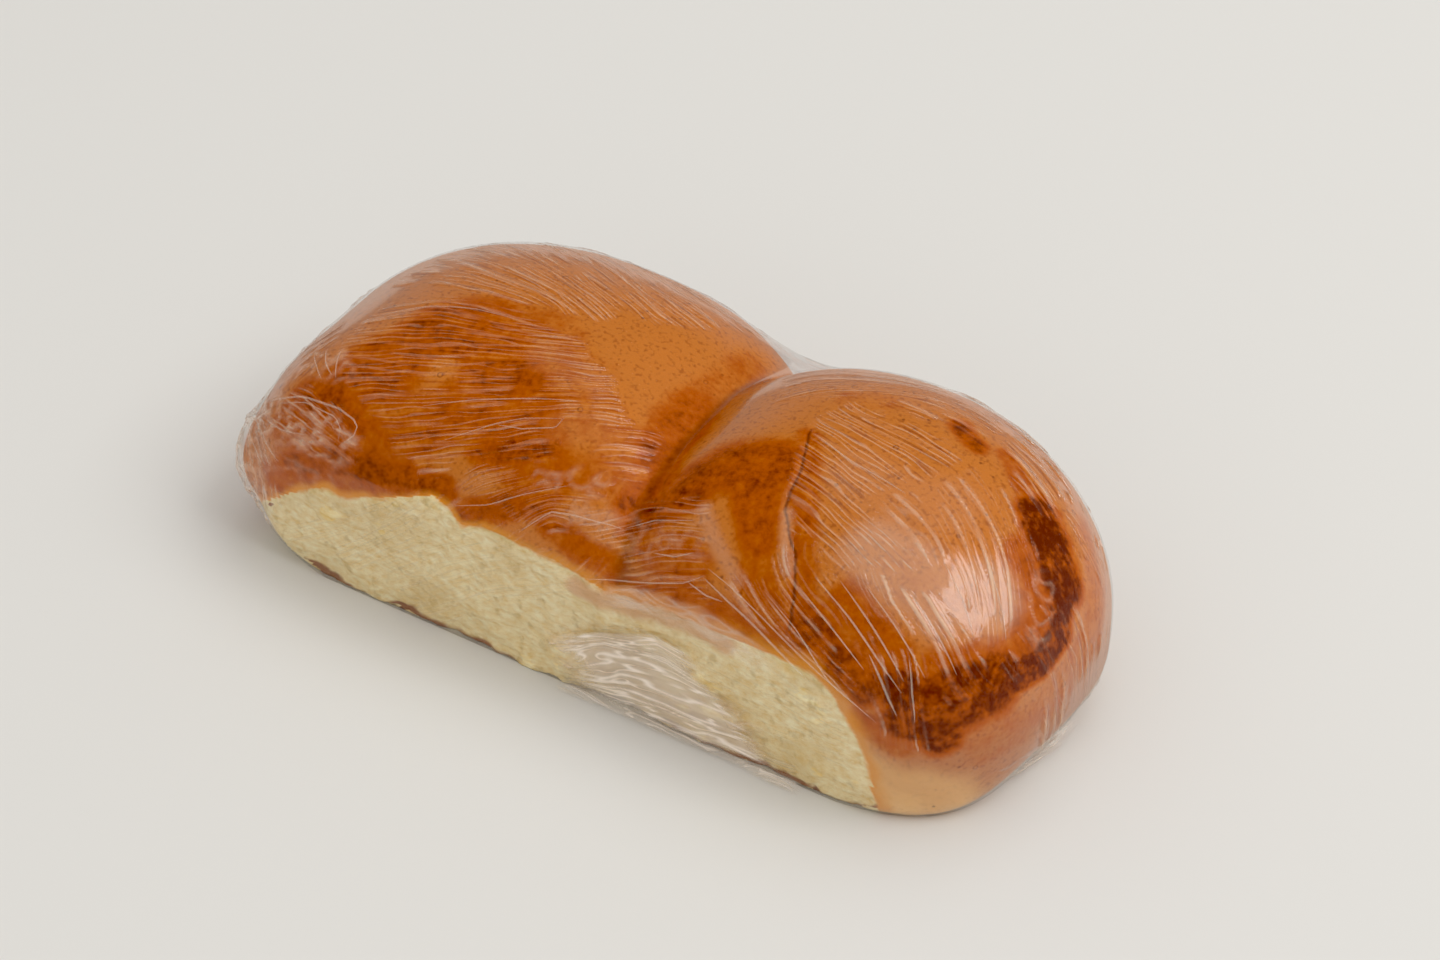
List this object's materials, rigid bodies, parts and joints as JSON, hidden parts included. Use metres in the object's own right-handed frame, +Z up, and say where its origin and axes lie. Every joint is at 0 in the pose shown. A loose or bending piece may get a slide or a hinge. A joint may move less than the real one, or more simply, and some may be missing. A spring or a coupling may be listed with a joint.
{
  "type": "film-wrapped sweet bun",
  "caption": "Soft egg-washed sweet bun of joined domes, torn off its row along the front, tightly wrapped in clear film and resting on a flat base.",
  "frame": {"origin": "on the floor under the middle of the bounding box", "axes": "+X along the torn front, from the larger dome to the smaller; +Y from the torn front to the back crust; +Z up from the flat base"},
  "size_m": [0.1773, 0.0876, 0.0538],
  "materials": {
    "crust_under_film": "glossy egg-washed crust under clear stretched film; cream crumb on the torn front"
  },
  "bodies": {
    "root": {"wrapped_buns": "crust_under_film"}
  },
  "joints": []
}
